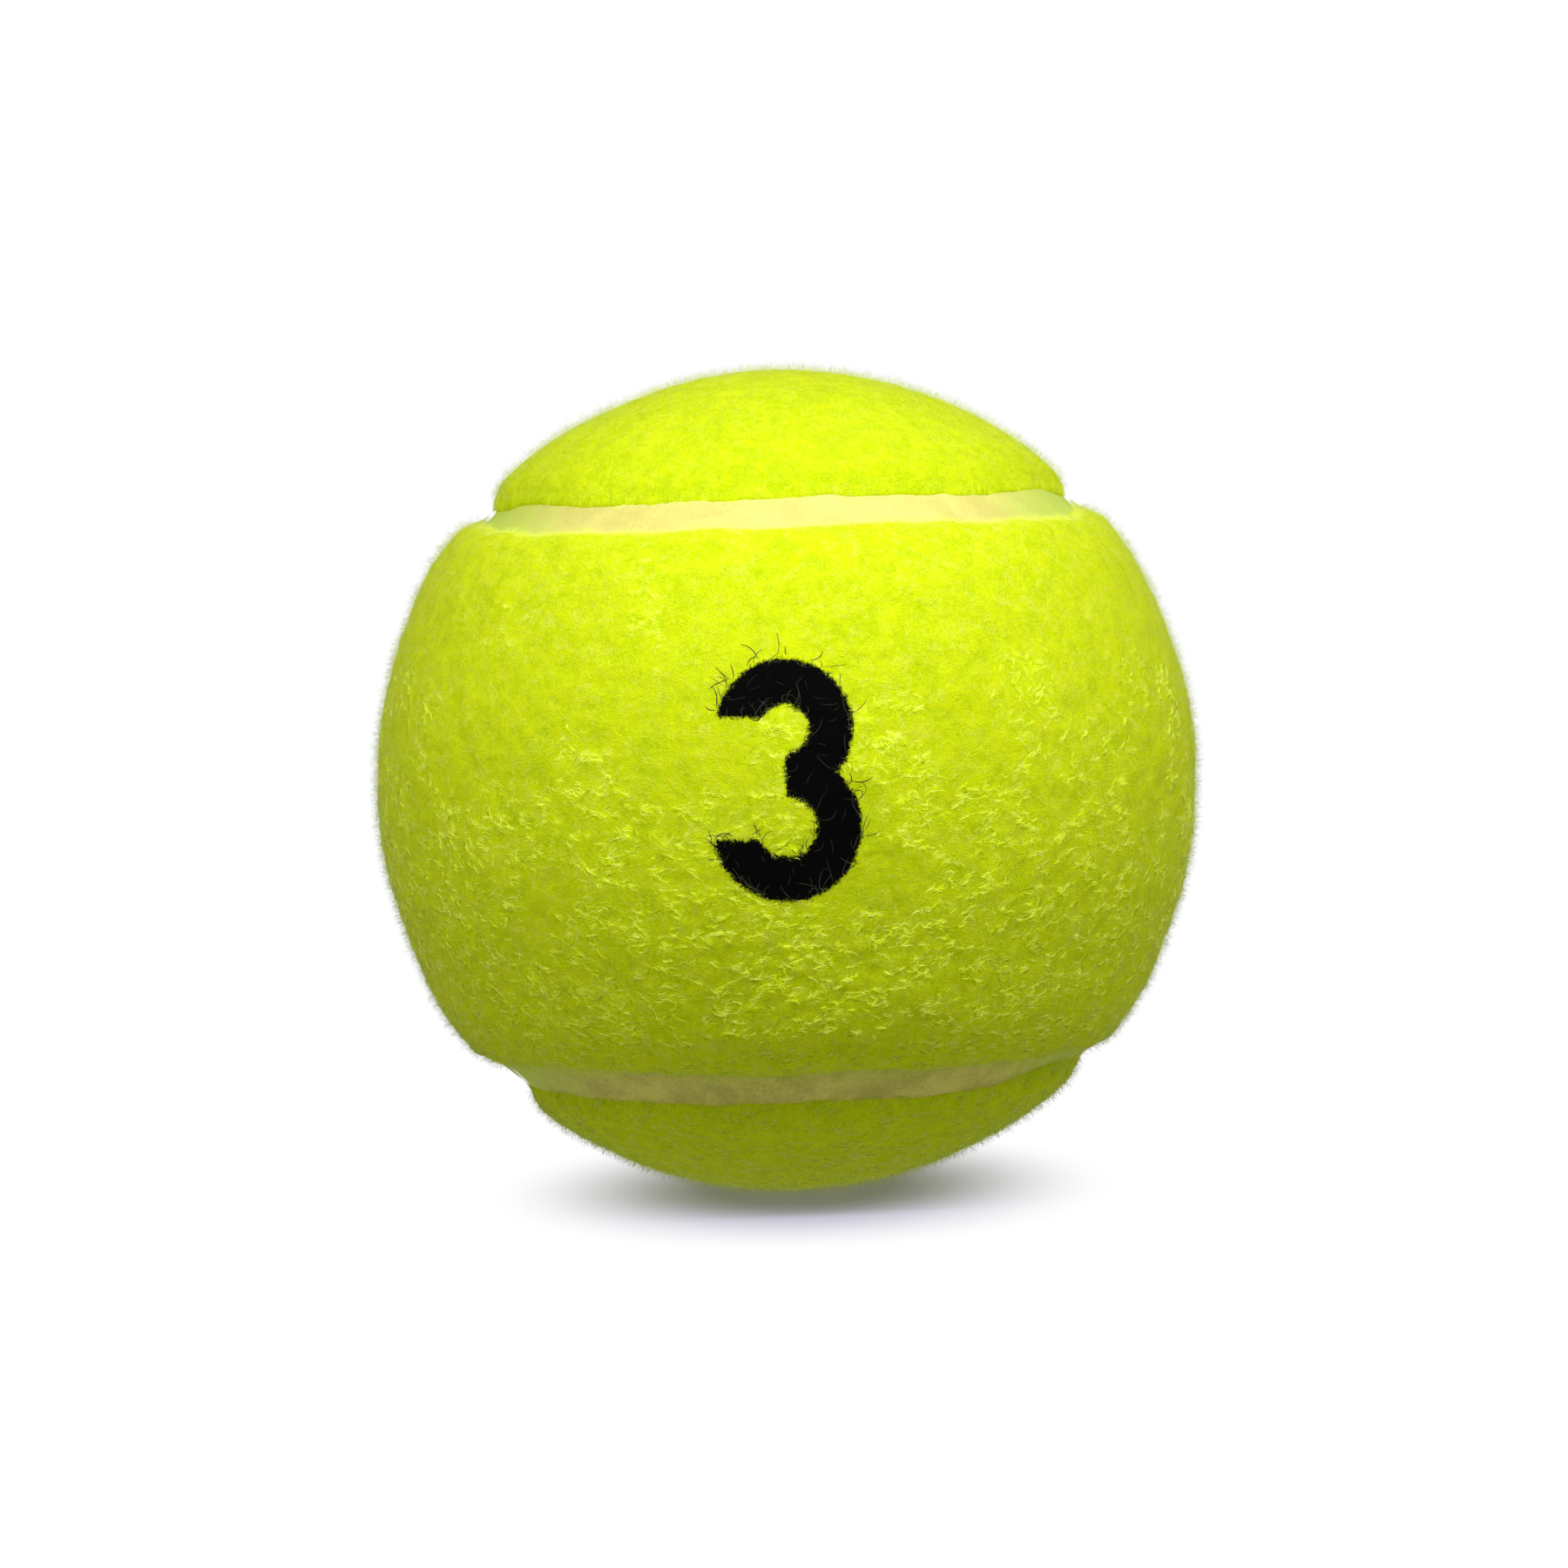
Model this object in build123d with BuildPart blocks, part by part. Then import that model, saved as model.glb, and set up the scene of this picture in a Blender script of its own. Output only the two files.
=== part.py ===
"""Pressurised tennis ball: a two-piece rubber core, two dumbbell-shaped felt panels and the seam between them.

The origin is the centre of the ball, with +Z up. The waist of the front panel faces -Y, between an upper and a
lower stretch of the seam. The seam runs round the front in two half circles about Z and round the back in two
half circles about X, and it crosses from one pair to the other in the plane Y = 0, where all four meet in line.
"""

import os
from math import atan2, degrees, sqrt

from build123d import *

# Core
core_diameter = 59.8
core_wall = 3.4
joint_thickness = 0.3
joint_bead_radius = 0.7

# Cover
backing_thickness = 0.2
felt_thickness = 3.2

# Seam, across its length
seam_root_width = 1.0
seam_width = 2.8
seam_recess = 1.3
seam_dish = 0.15
felt_edge_roll = 2.2

core_radius = core_diameter / 2
cavity_radius = core_radius - core_wall
backing_radius = core_radius + backing_thickness
ball_radius = backing_radius + felt_thickness
seam_radius = ball_radius - seam_recess

# The middle of the seam lies half-way between the X and Z axes of the section. The two panels swap places in
# half a turn about this line.
seam_line = Axis((0, 0, 0), (1, 0, 1))


def beside_seam(radius, offset):
    """A point of the X-Z section at a radius from the centre, moved off the seam's middle towards the X axis."""
    along = sqrt(radius**2 - offset**2)
    return Vector((along + offset) / sqrt(2), (along - offset) / sqrt(2))


def polar_angle(point):
    return degrees(atan2(point.Y, point.X))


def across_seam(point):
    """The same point on the other side of the seam's middle."""
    return Vector(point.Y, point.X)


# Corners of a panel's edge, from the core outwards
edge_foot = beside_seam(core_radius, seam_root_width / 2)
edge_root = beside_seam(backing_radius, seam_root_width / 2)
edge_lip = beside_seam(seam_radius, seam_width / 2)
edge_crown = beside_seam(ball_radius, seam_width / 2 + felt_edge_roll)


def wrap_dumbbell(half_section):
    """The right half of a front panel and its mirror image: a quarter turn of waist about Z, and a lobe about X."""
    with BuildPart() as dumbbell:
        with BuildSketch(Plane.XZ):
            add(half_section)
            mirror(about=Plane.XZ)
        revolve(axis=Axis.Z.reverse(), revolution_arc=90)
        with BuildSketch(Plane.XZ):
            add(half_section)
        revolve(axis=Axis.X.reverse(), revolution_arc=180)
        mirror(about=Plane.YZ)
    return dumbbell.part


# Rubber core: two half-shells with flat rims that face each other across the plane Y = 0
with BuildPart() as core_half_front:
    with BuildSketch(Plane.XY):
        Circle(core_radius)
        Circle(cavity_radius, mode=Mode.SUBTRACT)
        with Locations((0, -joint_thickness / 2)):
            Rectangle(core_radius, core_radius, align=(Align.MIN, Align.MAX), mode=Mode.INTERSECT)
    revolve(axis=Axis.Y)
core_half_front.part.label = "core_half_front"

with BuildPart() as core_half_back:
    add(core_half_front.part)
    mirror(about=Plane.XZ, mode=Mode.REPLACE)
core_half_back.part.label = "core_half_back"

# Cement between the rims, with the bead that is squeezed out along the inside
with BuildPart() as core_joint_ring:
    with BuildSketch(Plane.XY):
        with Locations((cavity_radius, 0)):
            Circle(joint_bead_radius)
        Circle(cavity_radius, mode=Mode.INTERSECT)
        with Locations((core_radius - core_wall / 2, 0)):
            Rectangle(core_wall + joint_bead_radius, joint_thickness)
        Circle(core_radius, mode=Mode.INTERSECT)
    revolve(axis=Axis.Y)
core_joint_ring.part.label = "core_joint_ring"

# Rubber coat on the back of each panel
with BuildSketch() as backing_section:
    with BuildLine():
        Line((core_radius, 0), (backing_radius, 0))
        CenterArc((0, 0), backing_radius, 0, polar_angle(edge_root))
        Line(edge_root, edge_foot)
        CenterArc((0, 0), core_radius, 0, polar_angle(edge_foot))
    make_face()

with BuildPart() as front_panel_backing:
    add(wrap_dumbbell(backing_section.sketch))
front_panel_backing.part.label = "front_panel_backing"

with BuildPart() as back_panel_backing:
    add(front_panel_backing.part.rotate(seam_line, 180))
back_panel_backing.part.label = "back_panel_backing"

# Felt panels: cut edges that lean away from the seam, and a nap that rolls over into it
with BuildSketch() as felt_section:
    with BuildLine():
        Line((backing_radius, 0), (ball_radius, 0))
        crown = CenterArc((0, 0), ball_radius, 0, polar_angle(edge_crown))
        TangentArc(edge_crown, edge_lip, tangent=crown % 1)
        Line(edge_lip, edge_root)
        CenterArc((0, 0), backing_radius, 0, polar_angle(edge_root))
    make_face()

with BuildPart() as front_felt_panel:
    add(wrap_dumbbell(felt_section.sketch))
front_felt_panel.part.label = "front_felt_panel"

with BuildPart() as back_felt_panel:
    add(front_felt_panel.part.rotate(seam_line, 180))
back_felt_panel.part.label = "back_felt_panel"

# Seam rubber: one endless strip that fills the gap between the cut edges and is dished along its top
seam_middle = beside_seam(seam_radius - seam_dish, 0)
with BuildSketch() as seam_section:
    with BuildLine():
        ThreePointArc(edge_lip, seam_middle, across_seam(edge_lip))
        Polyline(edge_lip, edge_root, edge_foot)
        Polyline(across_seam(edge_lip), across_seam(edge_root), across_seam(edge_foot))
        ThreePointArc(edge_foot, beside_seam(core_radius, 0), across_seam(edge_foot))
    make_face()

with BuildPart() as seam_rubber:
    with BuildSketch(Plane.XZ):
        add(seam_section.sketch)
    revolve(axis=Axis.Z.reverse(), revolution_arc=90)
    mirror(about=Plane.XY)
    with BuildSketch(Plane.XZ):
        add(seam_section.sketch)
    revolve(axis=Axis.X.reverse(), revolution_arc=180)
    mirror(about=Plane.YZ)
seam_rubber.part.label = "seam_rubber"

os.makedirs("parts", exist_ok=True)
for piece in (
    core_half_front,
    core_half_back,
    core_joint_ring,
    front_panel_backing,
    back_panel_backing,
    front_felt_panel,
    back_felt_panel,
    seam_rubber,
):
    export_step(piece.part, f"parts/{piece.part.label}.step")
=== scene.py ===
import math

import bmesh
import bpy
import numpy as np
from mathutils import Matrix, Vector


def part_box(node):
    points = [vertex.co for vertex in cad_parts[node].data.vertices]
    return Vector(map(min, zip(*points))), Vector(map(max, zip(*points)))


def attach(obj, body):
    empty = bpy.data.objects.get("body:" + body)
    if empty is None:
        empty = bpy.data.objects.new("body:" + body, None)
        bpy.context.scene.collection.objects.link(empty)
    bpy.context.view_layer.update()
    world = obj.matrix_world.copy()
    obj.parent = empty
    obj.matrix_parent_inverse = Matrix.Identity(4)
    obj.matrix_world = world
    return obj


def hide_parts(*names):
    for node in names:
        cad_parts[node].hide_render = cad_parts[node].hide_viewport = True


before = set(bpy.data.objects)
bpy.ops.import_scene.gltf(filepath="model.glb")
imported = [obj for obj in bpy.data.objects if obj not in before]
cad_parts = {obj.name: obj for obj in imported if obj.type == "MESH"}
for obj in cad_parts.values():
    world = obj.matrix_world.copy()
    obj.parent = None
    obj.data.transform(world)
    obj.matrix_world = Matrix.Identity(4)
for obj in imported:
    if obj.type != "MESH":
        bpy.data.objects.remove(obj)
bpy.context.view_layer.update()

# Core half-shells
# Two bowls of dark grey rubber, pressed in a hot mould. Their rims are ground flat, and the outside is buffed
# dull so that cement holds on it.


class Wire:
    """One output of a node. Arithmetic on it adds Math nodes to the same material."""

    def __init__(self, tree, socket=None):
        self.tree = tree
        self.socket = socket

    def node(self, kind, settings=None, sockets=None, output=0):
        """Adds a node with its settings, then a value or a wire for each socket, and returns one output."""
        made = self.tree.nodes.new(kind)
        for name, value in (settings or {}).items():
            setattr(made, name, value)
        for name, value in (sockets or {}).items():
            if isinstance(value, Wire):
                self.tree.links.new(value.socket, made.inputs[name])
            else:
                made.inputs[name].default_value = value
        return Wire(self.tree, made.outputs[output])

    def math(self, operation, *values):
        return self.node("ShaderNodeMath", {"operation": operation}, dict(enumerate(values)))

    def __add__(self, other):
        return self.math("ADD", self, other)

    def __radd__(self, other):
        return self.math("ADD", other, self)

    def __sub__(self, other):
        return self.math("SUBTRACT", self, other)

    def __rsub__(self, other):
        return self.math("SUBTRACT", other, self)

    def __mul__(self, other):
        return self.math("MULTIPLY", self, other)

    def __rmul__(self, other):
        return self.math("MULTIPLY", other, self)

    def __truediv__(self, other):
        return self.math("DIVIDE", self, other)

    def __pow__(self, other):
        return self.math("POWER", self, other)

    def __neg__(self):
        return self.math("MULTIPLY", self, -1)

    def __lt__(self, other):
        return self.math("LESS_THAN", self, other)

    def __abs__(self):
        return self.math("ABSOLUTE", self)

    def rise(self, low, high):
        """0 below low, 1 above high and a smooth step between."""
        limits = {"Value": self, "From Min": low, "From Max": high}
        return self.node("ShaderNodeMapRange", {"interpolation_type": "SMOOTHSTEP"}, limits)

    def tint(self, first, second):
        """The colour first where this is 0, and second where it is 1."""
        return self.node("ShaderNodeMix", {"data_type": "RGBA"}, {0: self, 6: first, 7: second}, 2)


def new_finish(name, constants):
    """A material whose shader has these constant sockets, with that shader and a wire to start from."""
    material = bpy.data.materials.new(name)
    material.use_nodes = True
    shader = material.node_tree.nodes["Principled BSDF"]
    for socket, value in constants.items():
        shader.inputs[socket].default_value = value
    return material, shader, Wire(material.node_tree)


def feed(shader, socket, wire):
    wire.tree.links.new(wire.socket, shader.inputs[socket])


def bumped(wire, height, distance, strength=1.0):
    settings = {"Height": height, "Distance": distance, "Strength": strength}
    return wire.node("ShaderNodeBump", None, settings, "Normal")


def place(wire):
    """Where a point of the surface is, in the ball's own frame in metres."""
    return wire.node("ShaderNodeTexCoord", output="Object")


def noise(wire, where, size, detail=2.0, distortion=0.0):
    """A noise between 0 and 1, whose grain has about this size in metres."""
    sockets = {"Vector": where, "Scale": 1 / size, "Detail": detail, "Distortion": distortion}
    return wire.node("ShaderNodeTexNoise", None, sockets, "Fac")


def plain_rubber(name, dark, light, grain_size, roughness):
    """Rubber that varies between two tones, with a fine moulded grain."""
    material, shader, wire = new_finish(name, {"Specular IOR Level": 0.3})
    where = place(wire)
    clouds = noise(wire, where, 12 * grain_size, 3.0)
    grain = noise(wire, where, grain_size, 4.0)
    feed(shader, "Base Color", (0.6 * clouds + 0.4 * grain).rise(0.3, 0.7).tint(dark, light))
    feed(shader, "Roughness", roughness + 0.15 * grain)
    feed(shader, "Normal", bumped(wire, grain, 0.3 * grain_size))
    return material


def dress(node, material):
    """Gives a solid of the frame its finish."""
    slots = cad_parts[node].data.materials
    slots.clear()
    slots.append(material)


mm = 0.001
core_rubber = plain_rubber("core_rubber", (0.045, 0.043, 0.041, 1), (0.085, 0.08, 0.075, 1), 0.5 * mm, 0.7)
dress("core_half_front", core_rubber)
dress("core_half_back", core_rubber)

# Core joint
# A thin ring of cured rubber cement between the two rims. The press squeezes a small bead of it out inside.
core_cement = plain_rubber("core_cement", (0.16, 0.1, 0.045, 1), (0.27, 0.18, 0.09, 1), 0.8 * mm, 0.5)
dress("core_joint_ring", core_cement)

# Panel backings
# A coat of tan rubber solution, spread on the back of the cloth before the blanks are cut. It bonds each
# blank to the core.
backing_rubber = plain_rubber("backing_rubber", (0.28, 0.22, 0.13, 1), (0.42, 0.34, 0.22, 1), 1.0 * mm, 0.75)
dress("front_panel_backing", backing_rubber)
dress("back_panel_backing", backing_rubber)

# Seam
# One endless strip of cream rubber cement, vulcanised between the cut edges of the two panels. It lies below
# the nap, a little dished, and it wanders, swells and sinks slightly as the blanks were laid by hand.
ball_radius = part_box("front_felt_panel")[1].x
core_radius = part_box("core_half_front")[1].x
seam_depth = 0.92 * mm
seam_depth_sway = 0.22 * mm
seam_deepest = 1.0
seam_half_width = 1.6 * mm
seam_bulge = 0.35 * mm
seam_bulge_place = 2.4
seam_bulge_reach = 0.45
seam_dish = 0.1 * mm
seam_tuck = 0.25 * mm
seam_foot_share = 0.35
seam_steps = 1200
seam_rows = 20
seam_cream = ((0.76, 0.68, 0.18, 1), (0.88, 0.8, 0.23, 1))
# The lower tones of the strip are painted shade with the felt's yellow bounce light, darker and yellower than
# the cream
seam_painted_shade = ((0.58, 0.53, 0.1, 1), (0.86, 0.78, 0.16, 1))
seam_rubbed = (0.6, 0.82, 0.08, 1)
seam_speck = (0.16, 0.13, 0.07, 1)

# How far the strip's middle strays towards the front panel, in millimetres, at places from 0 to 4 round it
seam_strays = (
    (0.0, 1.15), (0.15, 0.8), (0.45, 0.02), (0.75, 0.6), (1.0, 0.95), (1.5, 0.3), (2.0, -0.2), (2.25, 0.25),
    (2.45, -0.05), (2.54, 0.4), (2.65, 0.0), (2.74, 0.3), (2.84, 1.1), (3.0, 1.0), (3.5, 0.3), (4.0, 1.15),
)

# Where the panels nearly meet over the strip: the place, how far it is closed, and the reach
seam_pinches = ((0.0, 0.5, 0.08), (1.0, 0.5, 0.1), (2.98, 0.65, 0.2), (4.0, 0.5, 0.08))

# Waves per round and their heights, for the strip's middle and for half its width
seam_wobble = {17: 0.06 * mm, 31: 0.05 * mm, 53: 0.03 * mm}
seam_swell = {11: 0.08 * mm, 23: 0.06 * mm, 47: 0.05 * mm, 83: 0.04 * mm}


def ripple(along, sizes, seed):
    """A smooth random run round the seam. sizes maps waves per round to their height."""
    draw = np.random.default_rng(seed)
    total = 0
    for waves, height in sizes.items():
        total = total + height * np.sin(2 * np.pi * (waves * along / 4 + draw.random()))
    return total


def seam_wander(along):
    """How far the seam's middle strays towards the front panel, as an angle."""
    places, strays = np.array(seam_strays).T
    before = np.searchsorted(places, along, "right") - 1
    part = (along - places[before]) / (places[before + 1] - places[before])
    eased = part * part * (3 - 2 * part)
    stray = strays[before] + (strays[before + 1] - strays[before]) * eased
    return (stray * mm + ripple(along, seam_wobble, 3)) / ball_radius


def seam_half_angle(along):
    """Half the strip's width, as an angle. It is broader below, and narrow where the panels nearly meet."""
    swell = ripple(along, seam_swell, 4)
    swell = swell + seam_bulge * np.exp(-(((along - seam_bulge_place) / seam_bulge_reach) ** 2))
    opened = 1
    for middle, share, reach in seam_pinches:
        opened = opened - share * np.exp(-(((along - middle) / reach) ** 4))
    return opened * (seam_half_width + swell) / ball_radius


def seam_recess(along):
    """How deep the strip lies below the nap."""
    return seam_depth + seam_depth_sway * np.cos(2 * np.pi * (along - seam_deepest) / 4)


def beside_seam(along, off):
    """Direction from the ball's centre at along, from 0 to 4 round the seam, and at an angle off its middle.

    The seam has four half circles: front top, back left, front bottom and back right. off counts towards the
    front panel.
    """
    quarter = np.floor(along).astype(int) % 4
    turn = np.pi * (along - np.floor(along))
    near = np.pi / 4 + off
    far = np.pi / 4 - off
    front = np.stack([np.sin(near) * np.cos(turn), -np.sin(near) * np.sin(turn), np.cos(near)], -1)
    back = np.stack([-np.cos(far), np.sin(far) * np.sin(turn), np.sin(far) * np.cos(turn)], -1)
    half_turn = np.array([-1, 1, -1])
    ways = [quarter == 0, quarter == 1, quarter == 2, quarter == 3]
    cases = [front, back, front * half_turn, back * half_turn]
    return np.select([way[..., None] for way in ways], cases)


def seam_place(direction):
    """The nearest place of the seam to a direction: how far along, and at which angle off its middle."""
    x, y, z = direction.T
    in_front = y < 0
    arcs = [in_front & (z >= 0), in_front, x < 0]
    turns = [np.arctan2(-y, x), np.arctan2(-y, -x), np.arctan2(y, z)]
    turn = np.select(arcs, turns, np.arctan2(y, -z))
    quarter = np.select(arcs, [0, 2, 1], 3)
    front_off = np.arccos(np.clip(abs(z), 0, 1)) - np.pi / 4
    back_off = np.pi / 4 - np.arccos(np.clip(abs(x), 0, 1))
    return quarter + np.clip(turn / np.pi, 0, 0.999999), np.where(in_front, front_off, back_off)


def new_piece(name, points, faces, material, slot, normals=None, bake_map=None):
    """A smooth mesh object from arrays of points and faces, riding on the ball.

    normals, where given, has a shading normal for each point, and bake_map a texture place for each corner.
    """
    mesh = bpy.data.meshes.new(name)
    count, sides = faces.shape
    mesh.vertices.add(len(points))
    mesh.vertices.foreach_set("co", points.astype(np.float32).ravel())
    mesh.loops.add(count * sides)
    mesh.loops.foreach_set("vertex_index", faces.astype(np.int32).ravel())
    mesh.polygons.add(count)
    mesh.polygons.foreach_set("loop_start", np.arange(0, count * sides, sides, dtype=np.int32))
    mesh.update(calc_edges=True)
    mesh.validate()
    mesh.shade_smooth()
    if normals is not None:
        mesh.normals_split_custom_set_from_vertices(normals.tolist())
    if bake_map is not None:
        mesh.uv_layers.new(name="OFBake").uv.foreach_set("vector", bake_map.astype(np.float32).ravel())
    mesh.materials.append(material)
    piece = bpy.data.objects.new(name, mesh)
    bpy.context.scene.collection.objects.link(piece)
    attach(piece, "root")
    return piece


def seam_finish():
    """Cream rubber, darker and yellower towards the bottom with painted shade and yellow bounce light, rubbed
    green at the sides, with a chalky grain and a few dark specks.
    """
    material, shader, wire = new_finish("seam_rubber", {"Specular IOR Level": 0.25, "Roughness": 0.8})
    where = place(wire)
    clouds = noise(wire, where, 2.5 * mm, 3.0)
    grain = noise(wire, where, 0.25 * mm, 3.0)
    specks = noise(wire, where, 0.5 * mm, 1.0)
    height = wire.node("ShaderNodeSeparateXYZ", None, {"Vector": where}, "Z")
    aside = wire.node("ShaderNodeSeparateXYZ", None, {"Vector": where}, "X")
    mottling = (0.6 * clouds + 0.4 * grain).rise(0.35, 0.65)
    cream = mottling.tint(*seam_cream)
    # Painted shade: the strip turns darker and yellower towards the bottom, for the felt's shade and yellow
    # bounce light
    painted_shade_below = mottling.tint(*seam_painted_shade)
    colour = height.rise(-0.5 * ball_radius, 0.3 * ball_radius).tint(painted_shade_below, cream)
    rubbed = 0.75 * (abs(aside) + 4 * mm * (clouds - 0.5)).rise(15 * mm, 23 * mm)
    colour = rubbed.tint(colour, seam_rubbed)
    feed(shader, "Base Color", (0.8 * specks.rise(0.8, 0.83)).tint(colour, seam_speck))
    feed(shader, "Normal", bumped(wire, 0.5 * grain + 0.5 * clouds, 0.12 * mm))
    return material


def seam_strip():
    """A closed ring: a dished top between the panels' edges, and walls down to the core."""
    along = np.repeat(np.linspace(0, 4, seam_steps, endpoint=False)[:, None], 2 * seam_rows, 1)
    across = np.linspace(-1, 1, seam_rows)
    half = seam_half_angle(along[:, :1]) + seam_tuck / ball_radius
    middle = seam_wander(along[:, :1])
    top = beside_seam(along[:, :seam_rows], middle + half * across)
    height = ball_radius - seam_recess(along[:, :1]) - seam_dish * (1 - across**2)
    foot = beside_seam(along[:, :seam_rows], middle + seam_foot_share * half * across[::-1])
    points = np.concatenate([top * height[..., None], foot * core_radius], 1).reshape(-1, 3)
    ring = 2 * seam_rows
    step, row = np.meshgrid(np.arange(seam_steps), np.arange(ring), indexing="ij")
    next_step = (step + 1) % seam_steps
    next_row = (row + 1) % ring
    places = [(step, row), (step, next_row), (next_step, next_row), (next_step, row)]
    faces = np.stack([a * ring + b for a, b in places], -1).reshape(-1, 4)
    return points, faces


seam = new_piece("seam_strip", *seam_strip(), seam_finish(), "seam_rubber")
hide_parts("seam_rubber")

# Felt panels
# Two dumbbell-shaped blanks of wool and nylon cloth, dyed optic yellow and stretched round the core. The nap
# is raised and steamed, so it lies in soft lumps, puffs up beside the seam and rolls over into it. A plain
# ball number is stamped in black ink on the waist of the front panel.
felt_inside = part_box("front_panel_backing")[1].x
felt_root_gap = 0.5 * mm
felt_roll = 2.5 * mm
felt_puff = {1: 0.3 * mm, -1: 0.05 * mm}
felt_puff_place = 5 * mm
felt_puff_reach = 4 * mm
felt_level = 8
felt_back_level = 6
lip_ragged = 0.12 * mm
lip_ragged_size = 0.5 * mm
clump_size = 1.7 * mm
tuft_size = 1.1 * mm
fibre_size = 0.3 * mm
felt_tone = {1: 0.0, -1: -0.06}
# The deep tone is painted shade, for the hollows of the nap and the lower flanks of its ridges
felt_painted_shade = (0.64, 0.82, 0.002, 1)
felt_yellow = (0.805, 0.96, 0.005, 1)
felt_pale = (0.9, 0.985, 0.1, 1)
# A pale tone for random tufts, and for the painted highlight on the ridges and the front fringe
tuft_and_highlight_pale = (0.93, 0.99, 0.2, 1)
fuzz_pale = (0.86, 0.99, 0.14, 1)
ink = (0.002, 0.002, 0.002, 1)
number_height = 2.3 * mm
number_stroke = 1.75 * mm
number_bowls = ((4.0 * mm, 3.6 * mm), (-3.7 * mm, 4.1 * mm))
number_opening = 0.9 * mm
number_corner = 0.5 * mm
number_ragged = 0.9 * mm
number_ragged_size = 0.4 * mm
number_edge = (-0.12 * mm, 0.18 * mm)

# Sizes of the lumps in the nap, and how high they stand
felt_lumps = ((12 * mm, 0.15 * mm), (3.5 * mm, 0.08 * mm), (1.4 * mm, 0.08 * mm), (0.7 * mm, 0.06 * mm))


def least(a, b):
    return 0.5 * (a + b - abs(a - b))


def most(a, b):
    return 0.5 * (a + b + abs(a - b))


def within_both(a, b, radius):
    """Distance outside the overlap of two shapes, with its corners rounded."""
    return least(most(a, b), -radius) + (most(a + radius, 0) ** 2 + most(b + radius, 0) ** 2) ** 0.5


def beyond_number(x, z):
    """Distance outside the outline of the stamped number, a plain 3. It is negative within the strokes."""
    strokes = []
    for (height, radius), way in zip(number_bowls, (1, -1)):
        rise = z - number_height - height
        bowl = abs((x**2 + rise**2) ** 0.5 - radius) - number_stroke
        opening = most(x, way * rise - number_opening)
        strokes.append(within_both(bowl, -opening, number_corner))
    return least(*strokes)


def grain(points, size, seed):
    """A smooth random field from -1 to 1 at each point, which changes over about this size."""
    cell = points / size + 31.7 * seed
    low = np.floor(cell).astype(np.int64)
    part = cell - low
    part = part * part * (3 - 2 * part)
    total = np.zeros(len(points))
    for corner in np.ndindex(2, 2, 2):
        key = (low + corner) @ np.array([73856093, 19349663, 83492791])
        key = (key ^ (key >> 13)) * 1274126177
        key = key ^ (key >> 16)
        weight = np.prod(np.where(corner, part, 1 - part), axis=1)
        total += weight * ((key & 0xFFFF) / 32767.5 - 1)
    return total


def lip_place(direction, side):
    """How far along the seam a direction is, and its distance over the felt from the lip of a panel.

    side is 1 for the front panel and -1 for the back one.
    """
    along, off = seam_place(direction)
    ragged = lip_ragged * grain(direction * ball_radius, lip_ragged_size, 8)
    return along, ball_radius * (side * (off - seam_wander(along)) - seam_half_angle(along)) - ragged


def felt_radius(direction, side):
    """Height of the felt's surface over the ball's centre."""
    along, inward = lip_place(direction, side)
    inward = np.clip(inward, 0, None)
    recess = seam_recess(along)
    curve = (felt_roll**2 + recess**2) / (2 * recess)
    drop = curve - np.sqrt(curve**2 - np.clip(felt_roll - inward, 0, None) ** 2)
    puff = felt_puff[side] * np.exp(-(((inward - felt_puff_place) / felt_puff_reach) ** 2))
    lumps = 0
    for seed, (size, height) in enumerate(felt_lumps, 1):
        lumps = lumps + height * grain(direction * ball_radius, size, seed)
    return ball_radius - drop + puff + lumps


def ball_grid(level):
    """Directions and triangles of an evenly divided sphere."""
    build = bmesh.new()
    bmesh.ops.create_icosphere(build, subdivisions=level, radius=1)
    mesh = bpy.data.meshes.new("grid")
    build.to_mesh(mesh)
    build.free()
    points = np.empty(3 * len(mesh.vertices), np.float32)
    mesh.vertices.foreach_get("co", points)
    faces = np.empty(3 * len(mesh.polygons), np.int32)
    mesh.loops.foreach_get("vertex_index", faces)
    bpy.data.meshes.remove(mesh)
    points = points.reshape(-1, 3).astype(float)
    return points / np.linalg.norm(points, axis=1)[:, None], faces.reshape(-1, 3)


def cut_blank(level, side, edge_angle):
    """The part of a divided sphere inside a panel, with the points nearest its edge moved onto it."""
    directions, faces = ball_grid(level)
    along, off = seam_place(directions)
    inside = side * (off - seam_wander(along)) - edge_angle(along)
    spacing = math.sqrt(4 * math.pi / len(faces) * 4 / math.sqrt(3))
    near = abs(inside) < 0.55 * spacing
    edge_off = seam_wander(along[near]) + side * edge_angle(along[near])
    directions[near] = beside_seam(along[near], edge_off)
    kept = faces[((inside > 0) | near)[faces].all(1) & ~near[faces].all(1)]
    used, faces = np.unique(kept, return_inverse=True)
    return directions[used], faces.reshape(-1, 3)


def panel_mesh(side):
    """A closed blank: the napped outside, the cut edge down to the core and the flat back."""
    outside, faces = cut_blank(felt_level, side, seam_half_angle)
    points = outside * felt_radius(outside, side)[:, None]
    back, back_faces = cut_blank(felt_back_level, side, lambda along: 0 * along + felt_root_gap / felt_inside)
    faces = np.concatenate([faces, back_faces[:, ::-1] + len(points)])
    points = np.concatenate([points, back * felt_inside])
    mesh = bpy.data.meshes.new("blank")
    mesh.from_pydata(points.tolist(), [], faces.tolist())
    build = bmesh.new()
    build.from_mesh(mesh)
    rims = [edge for edge in build.edges if edge.is_boundary]
    bmesh.ops.bridge_loops(build, edges=rims)
    bmesh.ops.triangulate(build, faces=build.faces[:])
    bmesh.ops.recalc_face_normals(build, faces=build.faces[:])
    build.to_mesh(mesh)
    build.free()
    points = np.array([vertex.co for vertex in mesh.vertices])
    faces = np.array([face.vertices for face in mesh.polygons])
    bpy.data.meshes.remove(mesh)
    return points, faces


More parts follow.
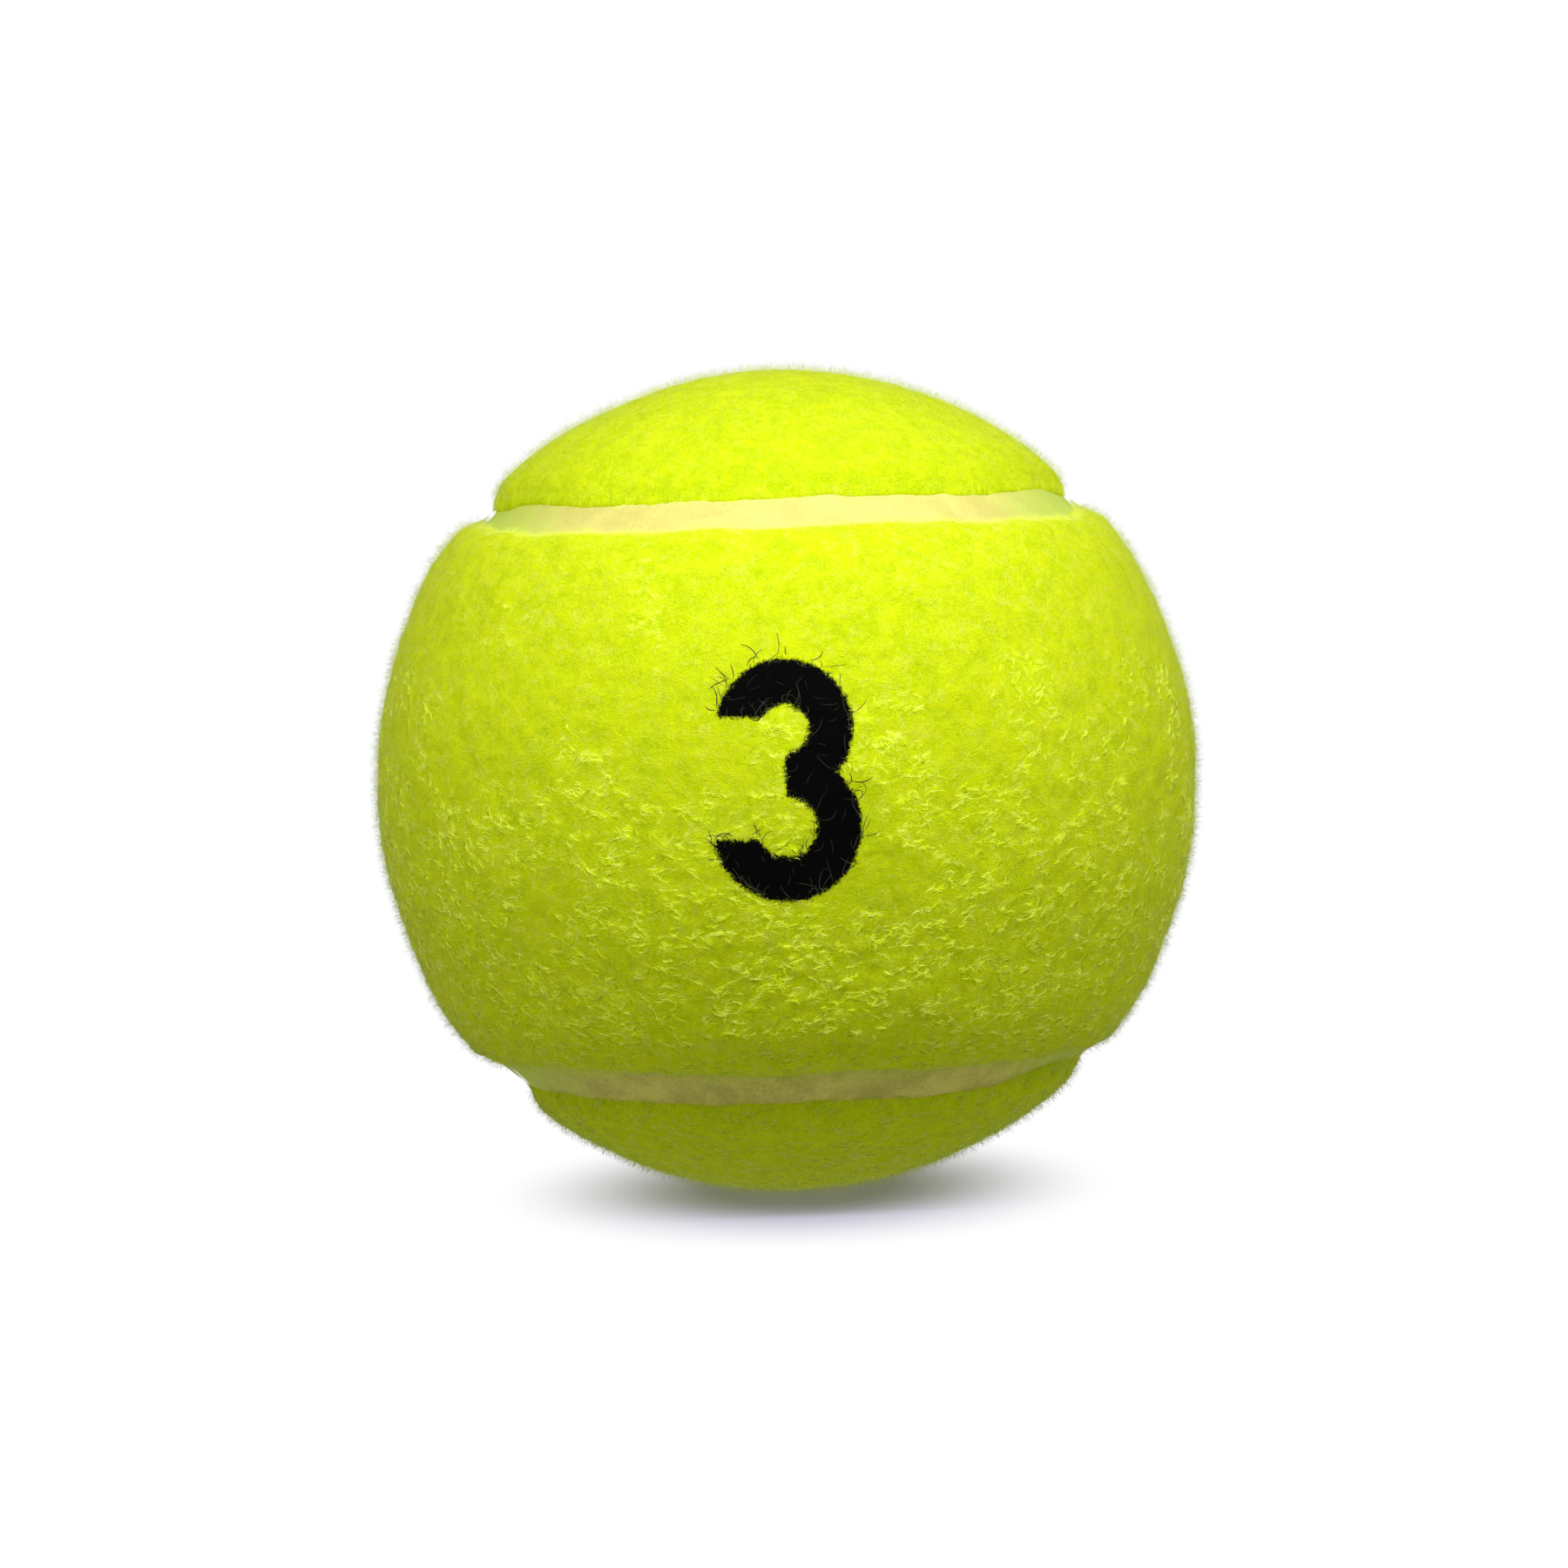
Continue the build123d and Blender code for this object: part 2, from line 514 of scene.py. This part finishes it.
def stamp(wire, where, colour):
    """A colour with the black number over it on the side that faces front, soaked in with a ragged edge."""
    x = wire.node("ShaderNodeSeparateXYZ", None, {"Vector": where}, "X")
    y = wire.node("ShaderNodeSeparateXYZ", None, {"Vector": where}, "Y")
    z = wire.node("ShaderNodeSeparateXYZ", None, {"Vector": where}, "Z")
    ragged = number_ragged * (noise(wire, where, number_ragged_size, 3.0, 1.0) - 0.5)
    soaked = 1 - (beyond_number(x, z) + ragged).rise(*number_edge)
    return (soaked * (y < 0)).tint(colour, ink)


def wool_colour(wire, where, lift, pale):
    """Optic yellow dye, with painted shade in the hollows of the nap's bump relief, and paler on tufts. lift
    moves it towards pale, and a negative lift into the painted shade.
    """
    clumps = noise(wire, where, clump_size, 4.0, 0.8)
    fibres = noise(wire, where, fibre_size, 3.0, 2.0)
    tufts = noise(wire, where, tuft_size, 3.0, 1.2)
    # Where the noises of the cloth's bump relief are low, the colour turns to painted shade
    colour = (0.55 * clumps + 0.45 * fibres + lift).rise(0.32, 0.58).tint(felt_painted_shade, felt_yellow)
    return (0.7 * (0.6 * tufts + 0.4 * fibres + lift).rise(0.5, 0.7)).tint(colour, pale)


def wool_finish(name, constants, stamped, lift, pale, inked_off):
    """Matt wool, with the stamp where it reaches. A fibre is inked as some place within inked_off of it is.

    lift gives a fibre's paleness from its own random number. Returns the material, its shader, a wire and the
    wire of the place.
    """
    material, shader, wire = new_finish(name, {"Roughness": 1.0, "Specular IOR Level": 0.05} | constants)
    where = place(wire)
    fibre = wire.node("ShaderNodeNewGeometry", output="Random Per Island")
    colour = wool_colour(wire, where, lift(fibre), pale)
    moved = wire.node("ShaderNodeTexWhiteNoise", {"noise_dimensions": "1D"}, {"W": fibre}, "Color")
    beside = {0: moved, 1: (2 * inked_off,) * 3, 2: (-inked_off,) * 3}
    moved = wire.node("ShaderNodeVectorMath", {"operation": "MULTIPLY_ADD"}, beside)
    inked = wire.node("ShaderNodeVectorMath", None, {0: where, 1: moved})
    feed(shader, "Base Color", stamp(wire, inked, colour) if stamped else colour)
    return material, shader, wire, where


def felt_finish(name, side):
    """The matted cloth itself, which light soaks into a little, with a fine fibrous relief."""
    soaking = {"Subsurface Weight": 0.45, "Subsurface Radius": (1.0, 1.0, 0.4), "Subsurface Scale": 0.35 * mm}
    tone = felt_tone[side]
    material, shader, wire, where = wool_finish(name, soaking, side == 1, lambda fibre: tone, felt_pale, 0.0)
    fibres = noise(wire, where, fibre_size, 3.0, 2.0)
    clumps = noise(wire, where, clump_size, 4.0, 0.8)
    # wool_colour darkens the hollows of this same relief with painted shade
    feed(shader, "Normal", bumped(wire, 0.6 * fibres + 0.4 * clumps, 0.3 * mm))
    return material


front_felt = new_piece("front_panel", *panel_mesh(1), felt_finish("front_felt", 1), "felt")
back_felt = new_piece("back_panel", *panel_mesh(-1), felt_finish("back_felt", -1), "felt")
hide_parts("front_felt_panel")
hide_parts("back_felt_panel")

# Nap
# Loose wool fibres that the raising and steaming pulled out of the cloth. They lie curled on it, matted
# together or gathered in short ridges, and a fine fuzz stands clear of it. The stamp has dyed what it touched.
# The ridges are painted: paler on their upper flanks as a painted highlight, and deeper on their lower flanks
# as painted shade
ridge_half_width = 0.18 * mm
ridge_reach = (0.25 * mm, 1.0 * mm)
ridge_steepness = 1.4
ridge_patch_size = 5 * mm
ridge_thinning = 1.5
ridge_bareness = -0.1
root_depth = 0.04 * mm
fibre_inked_off = 0.3 * mm
fuzz_sheen = 1.0
nap_sheen = 0.1

# Name, fibres in a piece, pieces, fibres in a ridge, flank of the ridge, stations, share of free ends, lean
# of normals, paleness, pale tone and sheen, then length, width and lift in millimetres. The ridge's paleness
# is a painted highlight on its upper flank, and the negative paleness of its lower flank's fibres is painted
# shade.
nap_kinds = (
    ("matted", 8000, 1, 1, 0, 5, 0.3, 1.5, 0.0, felt_pale, nap_sheen,
     (0.8, 2.4), (0.04, 0.07), (0.0, 0.05)),
    ("furrow", 8000, 2, 4, -1, 4, 0.0, 1.6, -0.4, felt_pale, nap_sheen,
     (0.4, 1.2), (0.05, 0.08), (0.03, 0.06)),
    ("ridge", 12000, 2, 6, 1, 4, 0.3, 2.0, 0.16, tuft_and_highlight_pale, nap_sheen,
     (0.4, 1.2), (0.04, 0.08), (0.05, 0.22)),
    ("wisp", 6000, 1, 3, 0, 5, 0.4, 1.0, 0.1, felt_pale, nap_sheen,
     (0.5, 1.6), (0.03, 0.05), (0.03, 0.25)),
    ("fuzz", 32000, 4, 1, 0, 3, 0.75, 1.2, 0.15, fuzz_pale, fuzz_sheen,
     (0.3, 0.9), (0.012, 0.018), (0.05, 0.85)),
)


def unit(vectors):
    return vectors / np.linalg.norm(vectors, axis=-1)[..., None]


def compass(directions):
    """East and north over the ball at each direction."""
    east = unit(np.cross([0.0, 0.0, 1.0], directions) + 1e-6)
    return east, np.cross(directions, east)


def felt_outward(direction, side):
    """The way the felt's surface faces, from its height a short step east and north."""
    step = 0.2 * mm
    here = felt_radius(direction, side)
    faced = direction
    for way in compass(direction):
        slope = (felt_radius(unit(direction + way * step / ball_radius), side) - here) / step
        faced = faced - slope[:, None] * way
    return unit(faced)


def lay_strands(roots, side, heading, length, lift, free, stations, draw):
    """Curled paths over a panel from the roots. A share of them end free, and the others arch back to it.

    heading turns from east to north, that is, up the ball. Returns the paths, and which of them keep off the
    seam.
    """
    count = len(roots)
    length = draw.uniform(*length, count)
    lift = lift[0] + (lift[1] - lift[0]) * draw.random(count) ** 1.5
    curl = draw.normal(0, 1.6, count)
    free_end = draw.random(count) < free
    east, north = compass(roots)
    offset = np.zeros((count, 2))
    spine = []
    clear = np.ones(count, bool)
    for station in np.linspace(0, 1, stations):
        if spine:
            way = heading + curl * (station - 0.5)
            offset = offset + (length / (stations - 1))[:, None] * np.stack([np.cos(way), np.sin(way)], 1)
        direction = unit(roots + (east * offset[:, :1] + north * offset[:, 1:]) / ball_radius)
        arch = np.where(free_end, station, np.sin(np.pi * station))
        height = felt_radius(direction, side) - root_depth + lift * arch
        spine.append(direction * height[:, None])
        clear &= lip_place(direction, side)[1] > -0.5 * mm
    return np.stack(spine, 1), clear


def spindles(spine, width, outward, lean):
    """Three-sided closed strands along each spine, pointed at both ends.

    Returns their points, faces, shading normals and bake map. The normals lean outward, the way the cloth
    faces, because fibres that lie together have no dark undersides. Each strand has its own cell of the map.
    """
    count, stations = spine.shape[:2]
    outward = outward[:, None]
    inner = spine[:, 1:-1]
    up = unit(inner)
    across = unit(np.cross(spine[:, 2:] - spine[:, :-2], up))
    taper = np.sin(np.pi * np.linspace(0, 1, stations)[1:-1]) ** 0.5
    reach = (0.5 * width[:, None] * taper)[..., None]
    turns = np.pi * np.array([3, 7, 11]) / 6
    edges = [math.cos(turn) * across + math.sin(turn) * up for turn in turns]
    rings = np.stack([inner + reach * edge for edge in edges], 2).reshape(count, -1, 3)
    leaning = np.stack([unit(lean * outward + edge) for edge in edges], 2).reshape(count, -1, 3)
    points = np.concatenate([spine[:, :1], rings, spine[:, -1:]], 1)
    normals = np.concatenate([outward, leaning, outward], 1)
    last = points.shape[1] - 1
    faces = []
    map_cell = []
    for k in range(3):
        after = (k + 1) % 3
        left, right, tip = k / 3, (k + 1) / 3, (k + 0.5) / 3
        faces.append((0, 1 + k, 1 + after))
        map_cell.append(((tip, 0), (left, 1), (right, 1)))
        for ring in range(stations - 3):
            low = 1 + 3 * ring
            faces.append((low + k, low + 3 + after, low + after))
            map_cell.append(((left, ring + 1), (right, ring + 2), (right, ring + 1)))
            faces.append((low + k, low + 3 + k, low + 3 + after))
            map_cell.append(((left, ring + 1), (left, ring + 2), (right, ring + 2)))
        faces.append((last - 3 + k, last, last - 3 + after))
        map_cell.append(((left, stations - 2), (tip, stations - 1), (right, stations - 2)))
    faces = np.array(faces)[None] + (last + 1) * np.arange(count)[:, None, None]
    columns = math.ceil(math.sqrt(count))
    corner = np.stack([np.arange(count) % columns, np.arange(count) // columns], 1)
    cell = 0.05 + 0.9 * np.array(map_cell).reshape(-1, 2) / (1, stations - 1)
    bake_map = (corner[:, None] + cell) / columns
    return points.reshape(-1, 3), faces.reshape(-1, 3), normals.reshape(-1, 3), bake_map.reshape(-1, 2)


def loose_finish(name, paleness, stamped, pale, sheen):
    """The wool of single fibres with a downy sheen, each a little paler or deeper than the next."""
    down = {"Sheen Weight": sheen, "Sheen Roughness": 0.27, "Sheen Tint": (0.92, 1.0, 0.65, 1)}

    def lift(fibre):
        return paleness + 0.3 * (fibre - 0.5)

    return wool_finish(name, down, stamped, lift, pale, fibre_inked_off)[0]


def new_nap(name, spine, width, outward, lean, finish, draw):
    """A piece of loose fibres along these spines. Fibres are too thin and clear to shade the cloth below."""
    points, faces, normals, bake_map = spindles(spine, draw.uniform(*width, len(spine)), outward, lean)
    piece = new_piece(name, points, faces, finish, "felt", normals, bake_map)
    piece.visible_shadow = False
    return piece


def ridge_roots(side, count, fibres, flank_side, draw):
    """Fibres in short bent ridges, most of which run across the ball: their roots, headings and slants.

    Ridges lie in patches, with more of them down the ball. flank_side is 1 on the upper flank of a ridge and
    -1 on the lower one, and the slant is how far a fibre there faces away from the cloth's own normal. The
    upper flank's fibres are coloured paler, a painted highlight, and the lower flank's deeper, painted shade.
    With one fibre to a ridge, they are spread evenly and head any way.
    """
    middles = unit(draw.normal(size=(3 * count // fibres, 3)))
    single = fibres == 1
    patches = grain(middles * ball_radius, ridge_patch_size, 6)
    ridged = single | (patches > ridge_thinning * middles[:, 2] + ridge_bareness)
    middles = middles[ridged & (lip_place(middles, side)[1] > 0.1 * mm)][: count // fibres]
    heading = draw.uniform(0, 2 * np.pi, len(middles)) if single else draw.normal(0, 0.45, len(middles))
    bend = draw.normal(0, 0.6, len(middles))
    reach = draw.uniform(*ridge_reach, len(middles)) * (not single)
    at = draw.uniform(-1, 1, (len(middles), fibres))
    chord = heading[:, None] + 0.5 * bend[:, None] * at
    flank = flank_side * draw.uniform(0.1, 1, at.shape)
    aside = ridge_half_width * flank
    east, north = compass(middles)
    along = np.cos(chord)[..., None] * east[:, None] + np.sin(chord)[..., None] * north[:, None]
    across = np.cos(chord)[..., None] * north[:, None] - np.sin(chord)[..., None] * east[:, None]
    shift = along * (reach[:, None] * at)[..., None] + across * aside[..., None]
    roots = middles[:, None] + shift / ball_radius
    way = heading[:, None] + bend[:, None] * at + 0.2 * draw.normal(size=at.shape)
    slant = ridge_steepness * across * flank[..., None]
    return unit(roots).reshape(-1, 3), way.ravel(), slant.reshape(-1, 3)


nap = {1: [], -1: []}
for side, label in ((1, "front"), (-1, "back")):
    for kind, count, pieces, fibres, flank, stations, free, lean, paleness, pale, sheen, *sizes in nap_kinds:
        length, width, lift = np.array(sizes) * mm
        finish = loose_finish(f"{label}_{kind}", paleness, side == 1, pale, sheen)
        # Both flanks of the ridges start from the same draws, so that the painted shade of the lower flank
        # lies under the painted highlight of each ridge's upper flank
        seed = 200 if flank else 100 * fibres + stations
        for index in range(pieces):
            draw = np.random.default_rng(10 * index + side + seed)
            roots, heading, slant = ridge_roots(side, count, fibres, flank, draw)
            spine, clear = lay_strands(roots, side, heading, length, lift, free, stations, draw)
            outward = unit(felt_outward(roots, side) + slant)[clear]
            name = f"{label}_{kind}_nap_{index + 1}"
            nap[side].append(new_nap(name, spine[clear], width, outward, lean, finish, draw))

# Fringe
# Wool fibres of each panel's cut lip, which the steam has drawn out over the seam. The front panel's are
# longer, most of all along the bottom of the ball, and are painted paler, a painted highlight of fibres that
# catch the light.
fringe_count = {1: 11000, -1: 6000}
fringe_stations = 3
fringe_reach = {1: 2.0 * mm, -1: 0.8 * mm}
fringe_sway = {1: 1.1 * mm, -1: 0.5 * mm}
fringe_longest = 2.5
fringe_width = (0.01 * mm, 0.02 * mm)
# The front fringe's paleness is a painted highlight
fringe_paleness = {1: 0.3, -1: 0.0}
fringe_sheen = 0.5


def seam_fringe(side, count, draw):
    """Paths of fibres from the cloth beside a panel's lip out over the seam, in thinner and thicker tufts."""
    along = draw.uniform(0, 4, count)
    skew = draw.normal(0, 0.6, count)
    start = draw.uniform(0.1, 1.4, count) * mm
    thick = np.clip(0.65 + ripple(along, {9: 0.15, 23: 0.2, 61: 0.25}, 5 + side), 0.2, 1)
    reach = fringe_reach[side] + fringe_sway[side] * np.cos(np.pi / 2 * (along - fringe_longest))
    end = -reach * thick * draw.random(count)
    lift = draw.uniform(0.0, 0.15, count) * mm
    spine = []
    for station in np.linspace(0, 1, fringe_stations):
        inward = start + (end - start) * station
        at = (along + skew * (start - inward) / (np.pi * ball_radius / math.sqrt(2))) % 4
        direction = beside_seam(at, seam_wander(at) + side * (seam_half_angle(at) + inward / ball_radius))
        resting = np.maximum(felt_radius(direction, side), ball_radius - seam_recess(at))
        height = resting + (0.08 * station - 0.04) * mm + lift * math.sin(math.pi * station)
        spine.append(direction * height[:, None])
    return np.stack(spine, 1)


for side, label in ((1, "front"), (-1, "back")):
    draw = np.random.default_rng(40 + side)
    finish = loose_finish(f"{label}_fringe", fringe_paleness[side], False, tuft_and_highlight_pale, fringe_sheen)
    spine = seam_fringe(side, fringe_count[side], draw)
    outward = unit(spine[:, 0])
    nap[side].append(new_nap(f"{label}_fringe", spine, fringe_width, outward, 1.0, finish, draw))

# Fibres that moved after the stamping
# Single wool fibres, pulled loose in handling. Inked ones stray out of the number, and a few paler ones,
# which the stamp missed, have fallen across it.
stray_count = 130
clean_count = 40
number_field = 13 * mm
draw = np.random.default_rng(77)
spots = draw.uniform(-number_field, number_field, (6000, 2))
reach = beyond_number(spots[:, 0], spots[:, 1])
depth = -np.sqrt(ball_radius**2 - (spots**2).sum(1))
spots = unit(np.stack([spots[:, 0], depth, spots[:, 1]], 1))
strays = spots[abs(reach) < 0.25 * mm][:stray_count]
clean = spots[reach < -0.3 * mm][:clean_count]
up = np.pi / 2 + draw.normal(0, 0.8, len(strays))
any_way = draw.uniform(0, 2 * np.pi, len(clean))
stray_finish = new_finish("stray_ink", {"Base Color": (0.012, 0.015, 0.001, 1), "Roughness": 0.8})[0]
clean_finish = new_finish("clean_fibre", {"Base Color": (0.06, 0.06, 0.035, 1), "Roughness": 0.8})[0]
stray_lay = lay_strands(strays, 1, up, (0.6 * mm, 2.4 * mm), (0.15 * mm, 0.5 * mm), 0.35, 7, draw)[0]
clean_lay = lay_strands(clean, 1, any_way, (0.6 * mm, 2 * mm), (0.05 * mm, 0.3 * mm), 0.35, 7, draw)[0]
nap[1].append(new_nap("stray_ink_nap", stray_lay, (0.05 * mm, 0.1 * mm), strays, 0.0, stray_finish, draw))
nap[1].append(new_nap("clean_nap", clean_lay, (0.02 * mm, 0.035 * mm), clean, 0.0, clean_finish, draw))

# Floor and light
# A white sweep under one long strip lamp, above the camera and a little to its right. The sweep shows the
# shadow round the ball on a painted shadow of dark bluish grey, whose blue offsets the ball's yellow bounce
# light, runs out to plain white and throws a soft light back up.
floor_size = 3.0
floor_gap = 0.1 * mm
floor_aside = 0.45 * mm
floor_light = 0.345
floor_painted_shadow = (0.41, 0.385, 0.69, 1)
shadow_reach = (6 * mm, 26 * mm)
white = (1, 1, 1, 1)
lamp_height = math.radians(47)
lamp_side = math.radians(6.7)
lamp_away = 3.86 * ball_radius
lamp_size = (0.233, 0.02)
lamp_watts = 0.166
room_light = 0.315


def seen_directly(wire):
    """1 for what the camera sees, directly or in a reflection or through glass, and 0 for other light."""
    kinds = ("Camera", "Glossy", "Transmission")
    rays = [wire.node("ShaderNodeLightPath", output=f"Is {kind} Ray") for kind in kinds]
    return rays[0] + rays[1] + rays[2]


def floor_finish():
    """A matt floor that shows the shadow near the ball on a painted shadow of dark bluish grey, turns plain
    white farther off and throws light up.
    """
    constants = {"Base Color": floor_painted_shadow, "Roughness": 1.0, "Specular IOR Level": 0.0}
    material, shader, wire = new_finish("floor", constants)
    axes = wire.node("ShaderNodeVectorMath", {"operation": "MULTIPLY"}, {0: place(wire), 1: (1, 0.6, 0)})
    away = wire.node("ShaderNodeVectorMath", {"operation": "LENGTH"}, {0: axes}, "Value")
    plain = wire.node("ShaderNodeEmission", None, {"Color": white, "Strength": 1.0})
    glow = wire.node("ShaderNodeEmission", None, {"Color": white, "Strength": floor_light})
    shaded = Wire(wire.tree, shader.outputs["BSDF"])
    # Near the ball the floor is mostly its dark bluish grey, a painted shadow, with a tenth of plain white
    fade = 0.1 + 0.9 * away.rise(*shadow_reach)
    shown = wire.node("ShaderNodeMixShader", None, {0: fade, 1: shaded, 2: plain})
    whole = wire.node("ShaderNodeMixShader", None, {0: seen_directly(wire), 1: glow, 2: shown})
    wire.tree.links.new(whole.socket, wire.tree.nodes["Material Output"].inputs["Surface"])
    return material


floor_mesh = bpy.data.meshes.new("floor")
floor_level = -ball_radius - floor_gap
ways = ((-1, -1), (1, -1), (1, 1), (-1, 1))
corners = [(x * floor_size / 2, y * floor_size / 2, floor_level) for x, y in ways]
floor_mesh.from_pydata(corners, [], [(0, 1, 2, 3)])
floor_mesh.materials.append(floor_finish())
floor = bpy.data.objects.new("floor", floor_mesh)
# Moves the painted shadow a little to the right
floor.location.x = floor_aside
bpy.context.scene.collection.objects.link(floor)

lamp = bpy.data.objects.new("soft_lamp", bpy.data.lights.new("soft_lamp", "AREA"))
lamp.data.shape = "RECTANGLE"
lamp.data.size, lamp.data.size_y = lamp_size
lamp.data.energy = lamp_watts
aim = Matrix.Rotation(lamp_side, 4, "Z") @ Matrix.Rotation(math.pi / 2 - lamp_height, 4, "X")
lamp.matrix_world = aim @ Matrix.Translation((0, 0, lamp_away))
bpy.context.scene.collection.objects.link(lamp)

world = bpy.data.worlds.new("room")
world.use_nodes = True
bpy.context.scene.world = world
backdrop = world.node_tree.nodes["Background"]
room = Wire(world.node_tree)
strength = room_light + (1 - room_light) * seen_directly(room)
world.node_tree.links.new(strength.socket, backdrop.inputs["Strength"])
backdrop.inputs["Color"].default_value = white

# Camera
# Slightly above the ball's middle, with a long lens, at the photograph's framing.
image_size = 1800
ball_in_image = (902.0, 895.3, 471.0)
seen_radius = ball_radius + 0.1 * mm
camera_radii = 22.0
camera_rise = math.radians(4.0)
camera_roll = math.radians(1.6)
camera = bpy.data.objects.new("camera", bpy.data.cameras.new("camera"))
distance = camera_radii * seen_radius
focal_pixels = ball_in_image[2] * math.sqrt(camera_radii**2 - 1)
camera.data.sensor_width = 36
camera.data.lens = camera.data.sensor_width * focal_pixels / image_size
camera.data.shift_x = (image_size / 2 - ball_in_image[0]) / image_size
camera.data.shift_y = (ball_in_image[1] - image_size / 2) / image_size
tilt = Matrix.Rotation(math.pi / 2 - camera_rise, 4, "X")
camera.matrix_world = tilt @ Matrix.Rotation(-camera_roll, 4, "Z") @ Matrix.Translation((0, 0, distance))
bpy.context.scene.collection.objects.link(camera)
bpy.context.scene.camera = camera
bpy.context.scene.view_settings.view_transform = "Standard"
